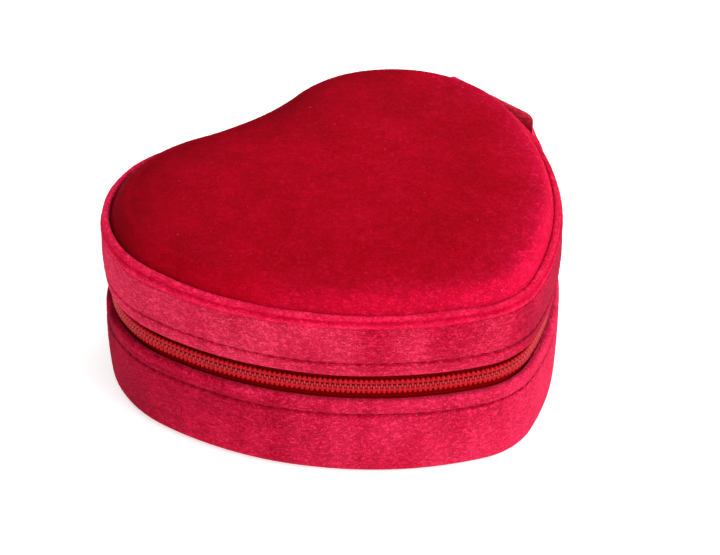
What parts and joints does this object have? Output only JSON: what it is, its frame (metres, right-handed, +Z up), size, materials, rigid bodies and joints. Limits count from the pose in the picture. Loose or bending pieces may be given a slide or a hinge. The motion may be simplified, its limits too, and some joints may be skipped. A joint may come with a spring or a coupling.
{
  "type": "heart-shaped zip jewellery case",
  "caption": "Heart-shaped velvet jewellery case that zips round its side, with a cloth-hinged mirror lid, ring rolls and divided trays.",
  "frame": {"origin": "on the underside, below the middle of the heart", "axes": "+Z up, +X towards the heart's point, +Y towards the cloth hinge at the back"},
  "size_m": [0.099, 0.1131, 0.0465],
  "materials": {
    "velvet": "deep red short-pile velvet with a pale pink sheen",
    "velvet_plain": "darker red flocked lining velvet",
    "thread": "red sewing thread",
    "zip_tape": "red woven polyester tape",
    "zip_coil": "red nylon coil, satin",
    "zip_metal": "bright nickel plate",
    "card": "dense grey-brown card",
    "foam": "cream foam",
    "mirror": "silvered mirror"
  },
  "bodies": {
    "base": {"base_bottom_cover": "velvet_plain", "base_bottom_board": "card", "base_wall_board": "card", "base_velvet_band": "velvet", "base_lining_wall": "velvet_plain", "base_floor_pad": "velvet_plain", "base_topstitch": "thread", "base_zip_tape": "zip_tape", "base_zip_coil": "zip_coil", "base_zip_stop_dip_end": "zip_metal", "base_zip_stop_tip_end": "zip_metal", "hinge_strip_base_half": "velvet", "cross_divider": "velvet_plain", "lobe_divider": "velvet_plain", "tip_divider": "velvet_plain", "ring_bed": "foam", "ring_roll_1": "velvet", "ring_roll_2": "velvet", "ring_roll_3": "velvet", "ring_roll_4": "velvet", "ring_roll_5": "velvet"},
    "lid": {"lid_wall_board": "card", "lid_velvet_band": "velvet", "lid_rim_welt": "velvet", "lid_top_board": "card", "lid_top_foam": "foam", "lid_top_velvet": "velvet", "lid_lining_wall": "velvet_plain", "lid_topstitch": "thread", "lid_zip_tape": "zip_tape", "lid_zip_coil": "zip_coil", "lid_zip_stop_dip_end": "zip_metal", "lid_zip_stop_tip_end": "zip_metal", "hinge_strip_lid_half": "velvet", "mirror_frame": "velvet", "heart_mirror": "mirror"},
    "slider": {"slider_body": "zip_metal"},
    "zip_pull": {"pull_ring": "zip_metal", "pull_tag": "zip_metal"}
  },
  "joints": [
    {"name": "lid_hinge", "type": "hinge", "parent": "base", "child": "lid", "pos_m": [-0.0153, 0.0573, 0.0235], "axis": [-1, 0, 0], "range_deg": [0, 180]},
    {"name": "zip_travel", "type": "hinge", "parent": "base", "child": "slider", "pos_m": [-0.02815, -0.02562, 0.0235], "axis": [0, 0, 1], "range_deg": [-37, 0]},
    {"name": "pull_swing", "type": "hinge", "parent": "slider", "child": "zip_pull", "pos_m": [0.00903, 0.05087, 0.0235], "axis": [0.8994, -0.4371, 0], "range_deg": [0, 180]}
  ]
}
